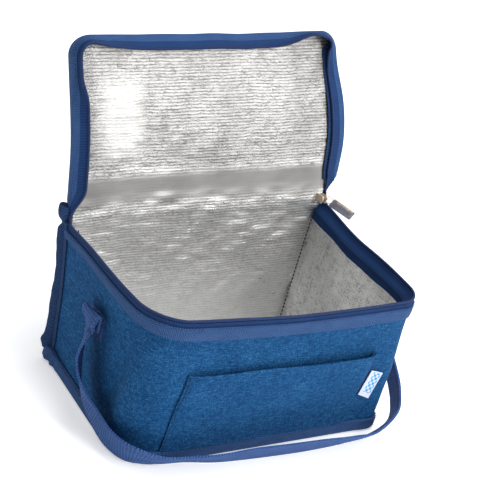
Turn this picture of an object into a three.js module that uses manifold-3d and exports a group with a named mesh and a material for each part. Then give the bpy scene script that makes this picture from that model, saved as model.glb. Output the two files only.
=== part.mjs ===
// Insulated cooler bag: a soft rectangular bag of fabric, foam and foil, with a
// zipped lid that stands open, a slip pocket on the front, and one webbing
// handle that lies in front of the bag.
//
// Millimetres. +X is the bag's right, -Y its front, +Z up. The origin is the
// centre of the underside, on the surface that the bag stands on.

import * as THREE from "three";
import { mergeVertices } from "three/addons/utils/BufferGeometryUtils.js";
import Module from "manifold-3d";

// ---------------------------------------------------------------- dimensions

const BASE_HALF_X = 115; // outer faces of the walls, at the floor
const BASE_HALF_Y = 65;
const RIM_HALF_X = 120; // the same at the zip
const RIM_HALF_Y = 68;
const RIM_SHIFT_Y = 6; // the mouth leans back over the base
const RIM_Z = 122; // top of the bag's half of the zip
const CORNER_IN = 8.6; // the back right corner stands this far in and back,
const CORNER_BACK = 7.6; // because the soft bag rests out of square
const FRONT_LEFT_RADIUS = 32; // this corner is the softer one
const FRONT_RIGHT_RADIUS = 18;

const GAP = 0.3; // between neighbouring layers
const FABRIC = 0.8;
const FOAM = 3;
const FOIL = 0.5;
const TAPE = 0.7; // zip tape and binding tape
const WEBBING = 1; // bands sewn along the rims
const COIL = 2.5;
const BAND_HEIGHT = 11;
const BASE_BINDING_HEIGHT = 10;
const BASE_BINDING = 2.6;

const HINGE_Y = 72.2;
const HINGE_Z = 131;
const BACK_TOP_Z = 126.6;
const FOLD_RADIUS = 2.6;
const FOLD_LENGTH = 226;
const LID_HALF_X = 119.7;
const LID_LENGTH = 134;
const LID_RADIUS = 16;
const LID_START = 3.5; // clear of the fold
const LID_LEAN = THREE.MathUtils.degToRad(25); // behind the vertical, at rest
const LID_PITCH = THREE.MathUtils.degToRad(4); // front edge high when shut
const ZIP_CLEARANCE = 1.2; // between the two coils when shut

const POCKET_TOP_Z = 77;
const POCKET_DEPTH = 5;
const POCKET_WALL = 1;

const STRAP_WIDTH = 22;
const STRAP_THICKNESS = 1.6;
const STRAP_STEPS = 72;
const ANCHOR_Y = 9;
const ANCHOR_TOP_Z = 88;
const ANCHOR_HEIGHT = 25;

const SLIDER_Y = 64; // parked at the hinge end of the right-hand rim
const SLIDER_TURN = 0.0594; // the right-hand rim runs in a little at the back
const SLIDER_LENGTH = 10.5;
const SLIDER_PLATE = 1.2;
const SLIDER_HEIGHT = 10;
const SLIDER_POST = 0.5;
const BAIL_GAP = 3;
const BAIL_BAR = 1.1;
const BAIL_HALF_LENGTH = 4.2;
const PULL_WIRE = 1.1;
const PULL_WIDTH = 7;
const PULL_LENGTH = 26;
const PULL_WINDOW = 6.4;
const PULL_YAW = THREE.MathUtils.degToRad(-38); // out to the side and forward
const PULL_DROOP = THREE.MathUtils.degToRad(15);

// Depths below the outer face of the wall, layer by layer.
const FOAM_FROM = FABRIC + GAP;
const FOAM_TO = FOAM_FROM + FOAM;
const FOIL_FROM = FOAM_TO + GAP;
const FOIL_TO = FOIL_FROM + FOIL;
const INNER_TAPE_FROM = FOIL_TO + GAP;

// ----------------------------------------------------------------- materials

function material(color, roughness, metalness = 0) {
  return new THREE.MeshStandardMaterial({ color, roughness, metalness });
}

const HEATHER = material(0x24588f, 0.9);
const WEBBED = material(0x34539a, 0.85);
const ZIP_TAPE = material(0x1e3f7c, 0.9);
const ZIP_COIL = material(0x16264f, 0.5);
const PE_FOAM = material(0xe9e9e4, 0.95);
const FOIL_SHEET = material(0xb9b9b4, 0.35, 0.85);
const NICKEL = material(0xb9a894, 0.3, 0.95);
const LABEL = material(0xd8d6ee, 0.8);

// ------------------------------------------------------------------- helpers

const wasm = await Module();
wasm.setup();

function toManifold(geometry) {
  const bare = geometry.clone();
  bare.deleteAttribute("normal");
  bare.deleteAttribute("uv");
  const merged = mergeVertices(bare, 1e-4);
  return new wasm.Manifold(
    new wasm.Mesh({
      numProp: 3,
      vertProperties: new Float32Array(merged.attributes.position.array),
      triVerts: new Uint32Array(merged.index.array),
    }),
  );
}

// One geometry from several that touch or cross.
function fuse(...geometries) {
  const whole = geometries.map(toManifold).reduce((sum, next) => sum.add(next));
  const mesh = whole.getMesh();
  const fused = new THREE.BufferGeometry();
  fused.setAttribute("position", new THREE.BufferAttribute(mesh.vertProperties, 3));
  fused.setIndex(new THREE.BufferAttribute(mesh.triVerts, 1));
  fused.computeVertexNormals();
  return fused;
}

function box(x0, x1, y0, y1, z0, z1) {
  const geometry = new THREE.BoxGeometry(x1 - x0, y1 - y0, z1 - z0);
  return geometry.translate((x0 + x1) / 2, (y0 + y1) / 2, (z0 + z1) / 2);
}

function movePoints(geometry, move) {
  const position = geometry.getAttribute("position");
  const point = new THREE.Vector3();
  for (let i = 0; i < position.count; i++) {
    move(point.fromBufferAttribute(position, i));
    position.setXYZ(i, point.x, point.y, point.z);
  }
  geometry.computeVertexNormals();
  return geometry;
}

// Upright prism of a plan outline, between two heights.
function prism(shape, z0, z1, curveSegments = 4) {
  const settings = { depth: z1 - z0, steps: 1, bevelEnabled: false, curveSegments };
  return new THREE.ExtrudeGeometry(shape, settings).translate(0, 0, z0);
}

// How much of the back right corner's shift a place in the plan takes.
function cornerShare(x, y) {
  return ((x + BASE_HALF_X) * (y + BASE_HALF_Y)) / (4 * BASE_HALF_X * BASE_HALF_Y);
}

// The bag's shape: the walls flare and lean back towards the mouth, evenly
// with height, so that layers stay a gap apart all the way up.
function shapeBag(geometry) {
  return movePoints(geometry, (point) => {
    const rise = point.z / RIM_Z;
    const share = cornerShare(point.x, point.y);
    point.x *= 1 + (rise * (RIM_HALF_X - BASE_HALF_X)) / BASE_HALF_X;
    point.y *= 1 + (rise * (RIM_HALF_Y - BASE_HALF_Y)) / BASE_HALF_Y;
    point.x -= share * CORNER_IN;
    point.y += rise * RIM_SHIFT_Y + share * CORNER_BACK;
  });
}

// Left wall, front and right wall at one depth below the outer face: a path
// from the back left to the back right.
function threeSides(path, depth, backY, size, reverse = false) {
  const x = size.halfX - depth;
  const y = -size.front + depth;
  const left = size.leftRadius - depth;
  const right = size.rightRadius - depth;
  const start = reverse ? x : -x;
  if (path.curves.length) {
    path.lineTo(start, backY);
  } else {
    path.moveTo(start, backY);
  }
  if (reverse) {
    path.lineTo(x, y + right);
    path.absarc(x - right, y + right, right, 0, -Math.PI / 2, true);
    path.lineTo(-x + left, y);
    path.absarc(-x + left, y + left, left, -Math.PI / 2, -Math.PI, true);
    path.lineTo(-x, backY);
    return;
  }
  path.lineTo(-x, y + left);
  path.absarc(-x + left, y + left, left, Math.PI, 1.5 * Math.PI);
  path.lineTo(x - right, y);
  path.absarc(x - right, y + right, right, 1.5 * Math.PI, 2 * Math.PI);
  path.lineTo(x, backY);
}

const BAG_PLAN = {
  halfX: BASE_HALF_X,
  front: BASE_HALF_Y,
  leftRadius: FRONT_LEFT_RADIUS,
  rightRadius: FRONT_RIGHT_RADIUS,
};
const LID_PLAN = {
  halfX: LID_HALF_X,
  front: LID_LENGTH,
  leftRadius: LID_RADIUS,
  rightRadius: LID_RADIUS,
};

// U-shaped layer that runs round the left wall, the front and the right wall.
function wrapShape(from, to, backY, size) {
  const shape = new THREE.Shape();
  threeSides(shape, from, backY, size);
  threeSides(shape, to, backY, size, true);
  return shape;
}

// Whole plan, with square back corners.
function planShape(depth, backY, size) {
  const shape = new THREE.Shape();
  threeSides(shape, depth, backY, size);
  return shape;
}

const group = new THREE.Group();

function addMesh(parent, name, geometry, look) {
  const mesh = new THREE.Mesh(geometry, look);
  mesh.name = name;
  parent.add(mesh);
  return mesh;
}

// ----------------------------------------------------------------- bag walls

function addWrapLayer(name, from, to, backDepth, z0, z1, look) {
  const shape = wrapShape(from, to, BASE_HALF_Y - backDepth, BAG_PLAN);
  addMesh(group, name, shapeBag(prism(shape, z0, z1)), look);
}

function addBackLayer(name, from, to, sideDepth, z0, z1, look) {
  const x = BASE_HALF_X - sideDepth;
  const layer = box(-x, x, BASE_HALF_Y - to, BASE_HALF_Y - from, z0, z1);
  addMesh(group, name, shapeBag(layer), look);
}

function addFloorLayer(name, depth, z0, z1, look) {
  const shape = planShape(depth, BASE_HALF_Y - depth, BAG_PLAN);
  addMesh(group, name, shapeBag(prism(shape, z0, z1)), look);
}

function addWalls() {
  const foamFloor = FABRIC + GAP;
  const foilFloor = foamFloor + FOAM + GAP;
  const wallFoil = foilFloor + FOIL + GAP;
  addFloorLayer("bottom_panel", 0, 0, FABRIC, HEATHER);
  addFloorLayer("bottom_foam", FOAM_FROM, foamFloor, foamFloor + FOAM, PE_FOAM);
  addFloorLayer("bottom_lining", FOIL_FROM, foilFloor, foilFloor + FOIL, FOIL_SHEET);
  addWrapLayer("outer_wrap_panel", 0, FABRIC, FOAM_FROM, foamFloor, RIM_Z - 8, HEATHER);
  addWrapLayer("wall_foam", FOAM_FROM, FOAM_TO, FOIL_FROM, foilFloor, RIM_Z - 10.3, PE_FOAM);
  addWrapLayer("wall_lining", FOIL_FROM, FOIL_TO, INNER_TAPE_FROM, wallFoil, RIM_Z - 9, FOIL_SHEET);
  addBackLayer("back_panel", 0, FABRIC, 0, foamFloor, BACK_TOP_Z, HEATHER);
  addBackLayer("back_foam", FOAM_FROM, FOAM_TO, FOAM_FROM, foilFloor, BACK_TOP_Z, PE_FOAM);
  addBackLayer("back_lining", FOIL_FROM, FOIL_TO, FOIL_FROM, wallFoil, BACK_TOP_Z, FOIL_SHEET);
}

// --------------------------------------------------- bindings, bands and zip

function addBaseBinding() {
  const outer = BASE_BINDING + GAP;
  const shape = planShape(-outer, BASE_HALF_Y + outer, BAG_PLAN);
  shape.holes.push(planShape(-GAP, BASE_HALF_Y + GAP, BAG_PLAN));
  addMesh(group, "base_binding", shapeBag(prism(shape, 0, BASE_BINDING_HEIGHT)), WEBBED);
}

// Flattened piping that stands off an upright back seam.
function addBackBinding(name, side) {
  const shape = new THREE.Shape();
  const x = side * (BASE_HALF_X + 3.6);
  shape.absellipse(x, BASE_HALF_Y + 3.6, 4.4, 2.2, 0, 2 * Math.PI, false, (side * Math.PI) / 4);
  const bar = prism(shape, BASE_BINDING_HEIGHT + GAP, BACK_TOP_Z - 2.6, 6);
  addMesh(group, name, shapeBag(bar), WEBBED);
}

function addRim() {
  const bandTop = RIM_Z - 5.5;
  const tapeBottom = RIM_Z - 10;
  const coilBottom = RIM_Z - COIL;
  addWrapLayer("rim_band", -WEBBING - GAP, -GAP, 3, bandTop - BAND_HEIGHT, bandTop, WEBBED);
  addWrapLayer(
    "rim_inner_tape",
    INNER_TAPE_FROM,
    INNER_TAPE_FROM + TAPE,
    INNER_TAPE_FROM,
    RIM_Z - 20,
    RIM_Z - 9,
    ZIP_TAPE,
  );
  addWrapLayer(
    "zipper_tape_rim",
    FOAM_FROM,
    FOAM_FROM + TAPE,
    FOIL_FROM,
    tapeBottom,
    coilBottom - GAP,
    ZIP_TAPE,
  );
  addWrapLayer("zipper_coil_rim", 0.2, 0.2 + COIL, FOIL_FROM, coilBottom, RIM_Z, ZIP_COIL);
}

// ------------------------------------------------------------- front pocket

function addPocket() {
  const left = -83.5;
  const right = 85.5;
  const back = -BASE_HALF_Y - GAP;
  const front = back - POCKET_DEPTH - POCKET_WALL;
  const z0 = BASE_BINDING_HEIGHT + 1.5;
  const pouch = fuse(
    box(left, right, front, front + POCKET_WALL, z0, POCKET_TOP_Z),
    box(left, left + 2, front, back, z0, POCKET_TOP_Z),
    box(right - 2, right, front, back, z0, POCKET_TOP_Z),
    box(left, right, front, back, z0, z0 + 2),
  );
  addMesh(group, "pocket_panel", shapeBag(pouch), HEATHER);
  const label = box(right + 1, right + 13.5, back - 0.6, back, 33, 58);
  addMesh(group, "side_label", shapeBag(label), LABEL);
}

// ------------------------------------------------------------------- handle

// A centre line that carries its own width direction at each station, so that
// the flat section turns as the webbing does.
class StrapPath extends THREE.CatmullRomCurve3 {
  constructor(stations) {
    const points = stations.map((station) => new THREE.Vector3(...station.at));
    super(points, false, "centripetal");
    const widths = stations.map((station) => new THREE.Vector3(...station.width));
    this.widths = new THREE.CatmullRomCurve3(widths, false, "catmullrom", 0.3);
    this.arcLengthDivisions = 400;
  }

  computeFrenetFrames(segments) {
    const tangents = [];
    const normals = [];
    const binormals = [];
    for (let i = 0; i <= segments; i++) {
      const u = i / segments;
      const tangent = this.getTangentAt(u);
      const width = this.widths.getPoint(this.getUtoTmapping(u));
      width.addScaledVector(tangent, -width.dot(tangent)).normalize();
      tangents.push(tangent);
      normals.push(width);
      binormals.push(new THREE.Vector3().crossVectors(tangent, width));
    }
    return { tangents, normals, binormals };
  }
}

// From the left anchor down to the floor, across the front of the bag and up
// to the right anchor. width points from the edge nearest the bag outwards.
const STRAP_STATIONS = [
  { at: [-122.5, 9, 87.5], width: [0, -1, 0] },
  { at: [-127, 8, 72], width: [-0.38, -0.85, 0.36] },
  { at: [-130.5, 4, 50], width: [-0.58, -0.62, 0.53] },
  { at: [-129.5, -9, 29], width: [-0.4, -0.45, 0.8] },
  { at: [-124.5, -30, 16], width: [-0.2, -0.25, 0.95] },
  { at: [-120.5, -50, 11.8], width: [-0.2, -0.28, 0.94] },
  { at: [-111, -67, 11.4], width: [-0.22, -0.35, 0.91] },
  { at: [-91.4, -76.2, 9.6], width: [-0.3, -0.56, 0.77] },
  { at: [-70.1, -79.5, 9.3], width: [-0.25, -0.62, 0.74] },
  { at: [-45.9, -82, 9.6], width: [-0.15, -0.62, 0.77] },
  { at: [-19.3, -82.9, 10.1], width: [-0.12, -0.57, 0.82] },
  { at: [10.6, -84.5, 10], width: [-0.12, -0.57, 0.81] },
  { at: [40, -85.5, 9.9], width: [-0.12, -0.59, 0.8] },
  { at: [70.7, -86.3, 9.1], width: [-0.2, -0.65, 0.73] },
  { at: [97.7, -85, 8.8], width: [-0.33, -0.63, 0.7] },
  { at: [127, -73, 12.5], width: [-0.25, -0.5, 0.83] },
  { at: [140, -56, 20], width: [-0.2, -0.4, 0.89] },
  { at: [144, -36, 33], width: [-0.25, -0.5, 0.83] },
  { at: [140.5, -18, 51], width: [-0.3, -0.65, 0.7] },
  { at: [131.5, -2, 68], width: [-0.2, -0.9, 0.4] },
  { at: [121.5, 10.5, 81], width: [0, -1, 0.1] },
  { at: [119.5, 12.5, 88], width: [0, -1, 0] },
];

function addStrapEnd(name, side) {
  const depth = STRAP_THICKNESS + GAP;
  const inner = BASE_HALF_X + GAP;
  const x0 = side < 0 ? -BASE_HALF_X - depth : inner;
  const x1 = side < 0 ? -inner : BASE_HALF_X + depth;
  const halfWidth = STRAP_WIDTH / 2;
  const y = ANCHOR_Y - 4; // leans back to the anchor's place with the wall
  const patch = box(x0, x1, y - halfWidth, y + halfWidth, ANCHOR_TOP_Z - ANCHOR_HEIGHT, ANCHOR_TOP_Z);
  addMesh(group, name, shapeBag(patch), WEBBED);
}

function addHandle() {
  addStrapEnd("strap_end_left", -1);
  addStrapEnd("strap_end_right", 1);
  const section = new THREE.Shape();
  const halfWidth = STRAP_WIDTH / 2;
  const halfThickness = STRAP_THICKNESS / 2;
  section.moveTo(-halfWidth, -halfThickness);
  section.lineTo(halfWidth, -halfThickness);
  section.lineTo(halfWidth, halfThickness);
  section.lineTo(-halfWidth, halfThickness);
  section.closePath();
  const extrudePath = new StrapPath(STRAP_STATIONS);
  const strap = new THREE.ExtrudeGeometry(section, { steps: STRAP_STEPS, extrudePath });
  addMesh(group, "carry_strap", strap, WEBBED);
}

// --------------------------------------------------------------------- zip

function addSlider() {
  const slider = new THREE.Group();
  const channel = 1.625; // half the space between the plates
  const share = cornerShare(BASE_HALF_X - 1.5, (SLIDER_Y - RIM_SHIFT_Y) / 1.046);
  const x = 118.425 - share * CORNER_IN;
  slider.position.set(x, SLIDER_Y + share * CORNER_BACK, RIM_Z + ZIP_CLEARANCE / 2);
  slider.rotation.z = SLIDER_TURN;
  group.add(slider);
  const halfLength = SLIDER_LENGTH / 2;
  const halfHeight = SLIDER_HEIGHT / 2;
  const plateOuter = channel + SLIDER_PLATE;
  const barInner = plateOuter + BAIL_GAP;
  const barOuter = barInner + BAIL_BAR;
  const bar = BAIL_BAR / 2 + 0.25;
  const foot = BAIL_HALF_LENGTH - BAIL_BAR;
  const body = fuse(
    box(-plateOuter, -channel, -halfLength, halfLength, -halfHeight, halfHeight),
    box(channel, plateOuter, -halfLength, halfLength, -halfHeight, halfHeight),
    box(-channel, channel, -halfLength, halfLength, -SLIDER_POST / 2, SLIDER_POST / 2),
    box(barInner, barOuter, -BAIL_HALF_LENGTH, BAIL_HALF_LENGTH, -bar, bar),
    box(plateOuter, barOuter, foot, BAIL_HALF_LENGTH, -bar, bar),
    box(plateOuter, barOuter, -BAIL_HALF_LENGTH, -foot, -bar, bar),
  );
  addMesh(slider, "zip_slider", body, NICKEL);
  addPull(slider, plateOuter + BAIL_GAP / 2 + 0.2);
}

// A wire loop round the slider's bail, and the flat tab it carries. Local +X
// runs along the tab; the loop's inner wire lies on the hinge line.
function addPull(slider, axisX) {
  const half = PULL_WIDTH / 2;
  const wire = PULL_WIRE / 2;
  const outline = new THREE.Shape();
  outline.moveTo(-wire, -half + 1);
  outline.lineTo(-wire + 1, -half);
  outline.lineTo(PULL_LENGTH - 1, -half);
  outline.lineTo(PULL_LENGTH, -half + 1);
  outline.lineTo(PULL_LENGTH, half - 1);
  outline.lineTo(PULL_LENGTH - 1, half);
  outline.lineTo(-wire + 1, half);
  outline.lineTo(-wire, half - 1);
  outline.closePath();
  const window = new THREE.Path();
  const side = half - PULL_WIRE;
  window.moveTo(wire, -side);
  window.lineTo(wire, side);
  window.lineTo(PULL_WINDOW, side);
  window.lineTo(PULL_WINDOW, -side);
  window.closePath();
  outline.holes.push(window);
  const tab = prism(outline, -wire, wire).rotateX(Math.PI / 2);
  const pull = addMesh(slider, "zip_pull", tab, NICKEL);
  pull.position.set(axisX, 0, 0);
  pull.rotation.set(0, PULL_DROOP, PULL_YAW, "ZYX");
}

// --------------------------------------------------------------------- lid

// The lid is built shut, from the middle of the hinge line: it runs along
// local -Y, and its outer face is up. Like the mouth that it covers, it is out
// of square, so the hinge line turns a little away from the X axis.
const HINGE_SHARE = cornerShare(BASE_HALF_X, BASE_HALF_Y - FOAM_TO / 2);
const HINGE_MIDDLE = new THREE.Vector3(
  (-CORNER_IN * HINGE_SHARE) / 2,
  (CORNER_BACK * HINGE_SHARE) / 2,
  0,
);
const HINGE_AXIS = new THREE.Vector3(
  2 * LID_HALF_X - CORNER_IN * HINGE_SHARE,
  CORNER_BACK * HINGE_SHARE,
  0,
).normalize();

function outOfSquare(geometry) {
  return movePoints(geometry, (point) => {
    const x = (point.x * BASE_HALF_X) / RIM_HALF_X;
    const half = cornerShare(x, BASE_HALF_Y) * HINGE_SHARE;
    const share = half * (1 + point.y / LID_LENGTH);
    point.x -= share * CORNER_IN;
    point.y += share * CORNER_BACK;
    point.sub(HINGE_MIDDLE);
  });
}

function addLid() {
  const lid = new THREE.Group();
  lid.position.set(0, HINGE_Y, HINGE_Z).add(HINGE_MIDDLE);
  lid.quaternion.setFromAxisAngle(HINGE_AXIS, -(Math.PI / 2 + LID_LEAN));
  group.add(lid);

  const panel = WEBBING + GAP;
  const halfStack = FABRIC + FOAM + FOIL + 2 * GAP;
  const top = halfStack / 2;
  const bottom = -halfStack / 2;
  const shape = planShape(panel, -LID_START, LID_PLAN);
  const addSheet = (name, z0, z1, look) => {
    addMesh(lid, name, outOfSquare(prism(shape, z0, z1)), look);
  };
  addSheet("lid_panel", top - FABRIC, top, HEATHER);
  addSheet("lid_foam", bottom + FOIL + GAP, top - FABRIC - GAP, PE_FOAM);
  addSheet("lid_lining", bottom, bottom + FOIL, FOIL_SHEET);

  // The skirt deepens towards the front, to meet the level rim when shut.
  const coilBottom = (y) => {
    const zipZ = RIM_Z + ZIP_CLEARANCE;
    return (zipZ - HINGE_Z + y * Math.sin(LID_PITCH)) / Math.cos(LID_PITCH);
  };
  const coilTop = (y) => coilBottom(y) + COIL - 0.1;
  const tapeTop = (y) => bottom - 2.5 + y * 0.05;
  const addSkirt = (name, from, to, low, high, look) => {
    const skirtShape = wrapShape(from, to, -LID_START, LID_PLAN);
    const skirt = movePoints(prism(skirtShape, 0, 1), (point) => {
      point.z = THREE.MathUtils.lerp(low(point.y), high(point.y), point.z);
    });
    addMesh(lid, name, outOfSquare(skirt), look);
  };
  addSkirt("lid_binding", 0, WEBBING, (y) => tapeTop(y) + GAP, () => top, WEBBED);
  addSkirt("zipper_tape_lid", 0.2, 0.2 + TAPE, (y) => coilTop(y) + GAP, tapeTop, ZIP_TAPE);
  addSkirt("zipper_coil_lid", 0.2, COIL, coilBottom, coilTop, ZIP_COIL);
}

// The soft fold of the back panel that the lid hinges on.
function addHingeFold() {
  const fold = new THREE.CylinderGeometry(FOLD_RADIUS, FOLD_RADIUS, FOLD_LENGTH, 12);
  fold.rotateZ(Math.PI / 2 + Math.atan2(HINGE_AXIS.y, HINGE_AXIS.x));
  fold.translate(HINGE_MIDDLE.x, HINGE_Y + HINGE_MIDDLE.y, HINGE_Z);
  addMesh(group, "hinge_fold", fold, HEATHER);
}

addWalls();
addBaseBinding();
addBackBinding("back_left_binding", -1);
addBackBinding("back_right_binding", 1);
addRim();
addPocket();
addHandle();
addSlider();
addHingeFold();
addLid();

export default group;
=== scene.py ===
"""Insulated cooler bag: the visual model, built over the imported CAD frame.

Lengths in the code are millimetres until the mesh builders turn them into metres.
"""

import math

import bpy
import numpy as np
from mathutils import Matrix, Vector


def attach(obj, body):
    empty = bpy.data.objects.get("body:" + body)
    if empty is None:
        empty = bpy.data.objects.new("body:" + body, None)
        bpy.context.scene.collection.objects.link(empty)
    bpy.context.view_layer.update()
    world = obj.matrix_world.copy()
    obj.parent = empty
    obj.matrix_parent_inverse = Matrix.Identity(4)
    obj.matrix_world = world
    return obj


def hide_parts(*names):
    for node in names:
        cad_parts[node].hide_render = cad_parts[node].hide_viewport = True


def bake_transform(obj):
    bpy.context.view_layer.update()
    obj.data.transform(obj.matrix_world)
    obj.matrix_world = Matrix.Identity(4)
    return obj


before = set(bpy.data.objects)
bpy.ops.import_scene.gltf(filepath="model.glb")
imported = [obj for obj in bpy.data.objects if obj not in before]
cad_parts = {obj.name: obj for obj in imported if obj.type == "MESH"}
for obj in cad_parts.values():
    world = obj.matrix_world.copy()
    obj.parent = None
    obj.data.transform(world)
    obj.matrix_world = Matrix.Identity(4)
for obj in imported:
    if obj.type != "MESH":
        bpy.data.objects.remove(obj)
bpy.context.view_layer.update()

MM = 0.001

# --- dimensions

HALF_X = 115.0  # outer faces of the walls at the floor
HALF_Y = 65.0
FLARE_X = 5.0  # how much further out they are at the zip
FLARE_Y = 3.0
LEAN_Y = 6.0  # the mouth leans back over the base
RIM_Z = 122.0
LEFT_RADIUS = 28.0
RIGHT_RADIUS = 18.0
CORNER_IN = 8.6  # the bag rests out of square: its back right corner is in and back
CORNER_BACK = 7.6
CORNER_SAG = 8.0  # the front left corner leans in at the mouth
CORNER_SAG_REACH = 45.0
REAR_LIFT = (3.5, 6.0)  # the left and right rims climb to the hinge

HINGE_Y = 72.2
HINGE_Z = 131.0
HINGE_SHARE = 0.9842  # of the corner's shift, at the hinge line
HINGE_MIDDLE = np.array([-0.5 * CORNER_IN, 0.5 * CORNER_BACK, 0.0]) * HINGE_SHARE
HINGE_SAG = (-3.5, 0.6, -3.3)  # at the hinge's left end
LID_HALF_X = 119.7
LID_LENGTH = 134.0
LID_RADIUS = 15.0
LID_OPEN = math.radians(115)
LID_SHRINK = 0.965  # slack that the foil's ripples take up
LID_CURL = 9.0  # the free edge curls towards the front
LID_BOW = 5.0
PANEL_HALF = 2.45  # half the thickness of fabric, foam and foil together

# Heights on the walls.
LINING_TOP = 109.5
FOAM_TOP = 111.7
FABRIC_TOP = 114.0
BAND_BOTTOM = 105.6
BAND_TOP = 116.2
TAPE_BOTTOM = 110.6
TAPE_TOP = 119.6
COIL_Z = 120.9
INNER_TAPE_BOTTOM = 106.0
INNER_TAPE_TOP = 120.0

# How far the layers stop short of the back's outer face.
RIM_GAP = 3.0
TAPE_GAP = 4.4
LINING_GAP = 5.2
INNER_TAPE_GAP = 5.4

COIL_PITCH = 1.3
COIL_RADIUS = 1.2

STRAP_WIDTH = 22.0
STRAP_THICKNESS = 1.6

# --- bag's geometry

LEFT_RUN = 2 * HALF_Y - LEFT_RADIUS
LEFT_ARC = LEFT_RADIUS * math.pi / 2
FRONT_RUN = 2 * HALF_X - LEFT_RADIUS - RIGHT_RADIUS
RIGHT_ARC = RIGHT_RADIUS * math.pi / 2
RIGHT_RUN = 2 * HALF_Y - RIGHT_RADIUS
FRONT_START = LEFT_RUN + LEFT_ARC
FRONT_END = FRONT_START + FRONT_RUN
FRONT_MIDDLE = (FRONT_START + FRONT_END) / 2
WRAP = FRONT_END + RIGHT_ARC + RIGHT_RUN


def smooth(low, high, value):
    """0 below low, 1 above high, and an S-curve between."""
    share = np.clip((value - low) / (high - low), 0, 1)
    return share * share * (3 - 2 * share)


def hump(value, middle, reach):
    """A bell of height 1 at the middle."""
    return np.exp(-(((value - middle) / reach) ** 2))


def waves(seed, count, shortest, longest, *coordinates):
    """A smooth random field from about -1 to 1: sines of random direction and phase."""
    random = np.random.default_rng(seed)
    total = 0.0
    for _ in range(count):
        length = random.uniform(shortest, longest)
        angle = random.uniform(0, 2 * math.pi)
        direction = (math.cos(angle), math.sin(angle))
        phase = random.uniform(0, 2 * math.pi)
        along = sum(c * d for c, d in zip(coordinates, direction))
        total = total + np.sin(2 * math.pi * along / length + phase)
    return total / math.sqrt(count)


def plan(t):
    """The wall's outer line at arc length t, from the back left round the front."""
    t = np.asarray(t, float)
    left = np.clip((t - LEFT_RUN) / LEFT_ARC, 0, 1) * math.pi / 2
    right = np.clip((t - FRONT_END) / RIGHT_ARC, 0, 1) * math.pi / 2
    x = np.where(t < FRONT_END, -HALF_X + LEFT_RADIUS, HALF_X - RIGHT_RADIUS)
    x = x + np.clip(t - FRONT_START, 0, FRONT_RUN) * (t < FRONT_END)
    radius = np.where(t < FRONT_START, LEFT_RADIUS, RIGHT_RADIUS)
    angle = left + right
    nx = -np.cos(angle)
    ny = -np.sin(angle)
    x = x + radius * nx
    y = -HALF_Y + radius + radius * ny
    y = y + np.clip(LEFT_RUN - t, 0, None)
    y = y + np.clip(t - (WRAP - RIGHT_RUN), 0, None)
    return x, y, nx, ny


def slack(t, z):
    """How far the soft wall stands out from its nominal face."""
    height = np.clip(z / FABRIC_TOP, 0, 1)
    belly = np.sin(math.pi * height)
    crease_t = LEFT_RUN - 16 + 22 * height
    out = 0.0
    for bulge, middle, reach in (
        (1.6, FRONT_MIDDLE, 85), (-3.0, crease_t, 8), (1.6, crease_t + 18, 9), (-1.8, 46, 30)
    ):
        out = out + bulge * belly * hump(t, middle, reach)
    out = out + 0.7 * belly * waves(3, 6, 55, 120, t, z)
    out = out + 0.2 * belly * waves(5, 8, 16, 34, t, z)
    corner_t = FRONT_END + RIGHT_ARC / 2
    out = out + 4.4 * hump(t, corner_t, 9) * (1 - smooth(55, 112, z))
    rim = smooth(70, RIM_Z, z)
    out = out + rim * (3.2 * hump(t, FRONT_MIDDLE + 15, 62) + 2.6 * hump(t, FRONT_END + 60, 32))
    return out + 0.4 * rim * waves(8, 4, 60, 110, t, t * 0)


def settle(points):
    """Lets the hinge's left end sag. Takes and gives points in millimetres."""
    end = np.array([-LID_HALF_X, HINGE_Y, HINGE_Z])
    distance = np.linalg.norm(points - end, axis=-1)
    return points + hump(distance, 0, 34)[..., None] * np.array(HINGE_SAG)


def taper(x, y, z):
    """The bag's flare, lean, skew and sagging corner, as points in metres."""
    rise = z / RIM_Z
    share = (x + HALF_X) * (y + HALF_Y) / (4 * HALF_X * HALF_Y)
    corner = np.hypot(x + HALF_X, y + HALF_Y)
    sag = rise * CORNER_SAG * hump(corner, 0, CORNER_SAG_REACH)
    x = x * (1 + rise * FLARE_X / HALF_X) + 0.75 * sag - share * CORNER_IN
    y = y * (1 + rise * FLARE_Y / HALF_Y) + 0.66 * sag + rise * LEAN_Y + share * CORNER_BACK
    return settle(np.stack(np.broadcast_arrays(x, y, z), -1)) * MM


def wall(t, z, out):
    """A point of the wrap: along it, up it, and outwards from its outer face."""
    x, y, nx, ny = plan(t)
    out = out + slack(t, z)
    ends = REAR_LIFT[0] * (1 - smooth(0, 55, t)) + REAR_LIFT[1] * smooth(WRAP - 60, WRAP, t)
    lift = smooth(60, 118, z) * ends
    return taper(x + nx * out, y + ny * out, z + lift)


def front(x, z, out):
    """The same on the front, by x."""
    return wall(FRONT_START + x + HALF_X - LEFT_RADIUS, z, out)


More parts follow.
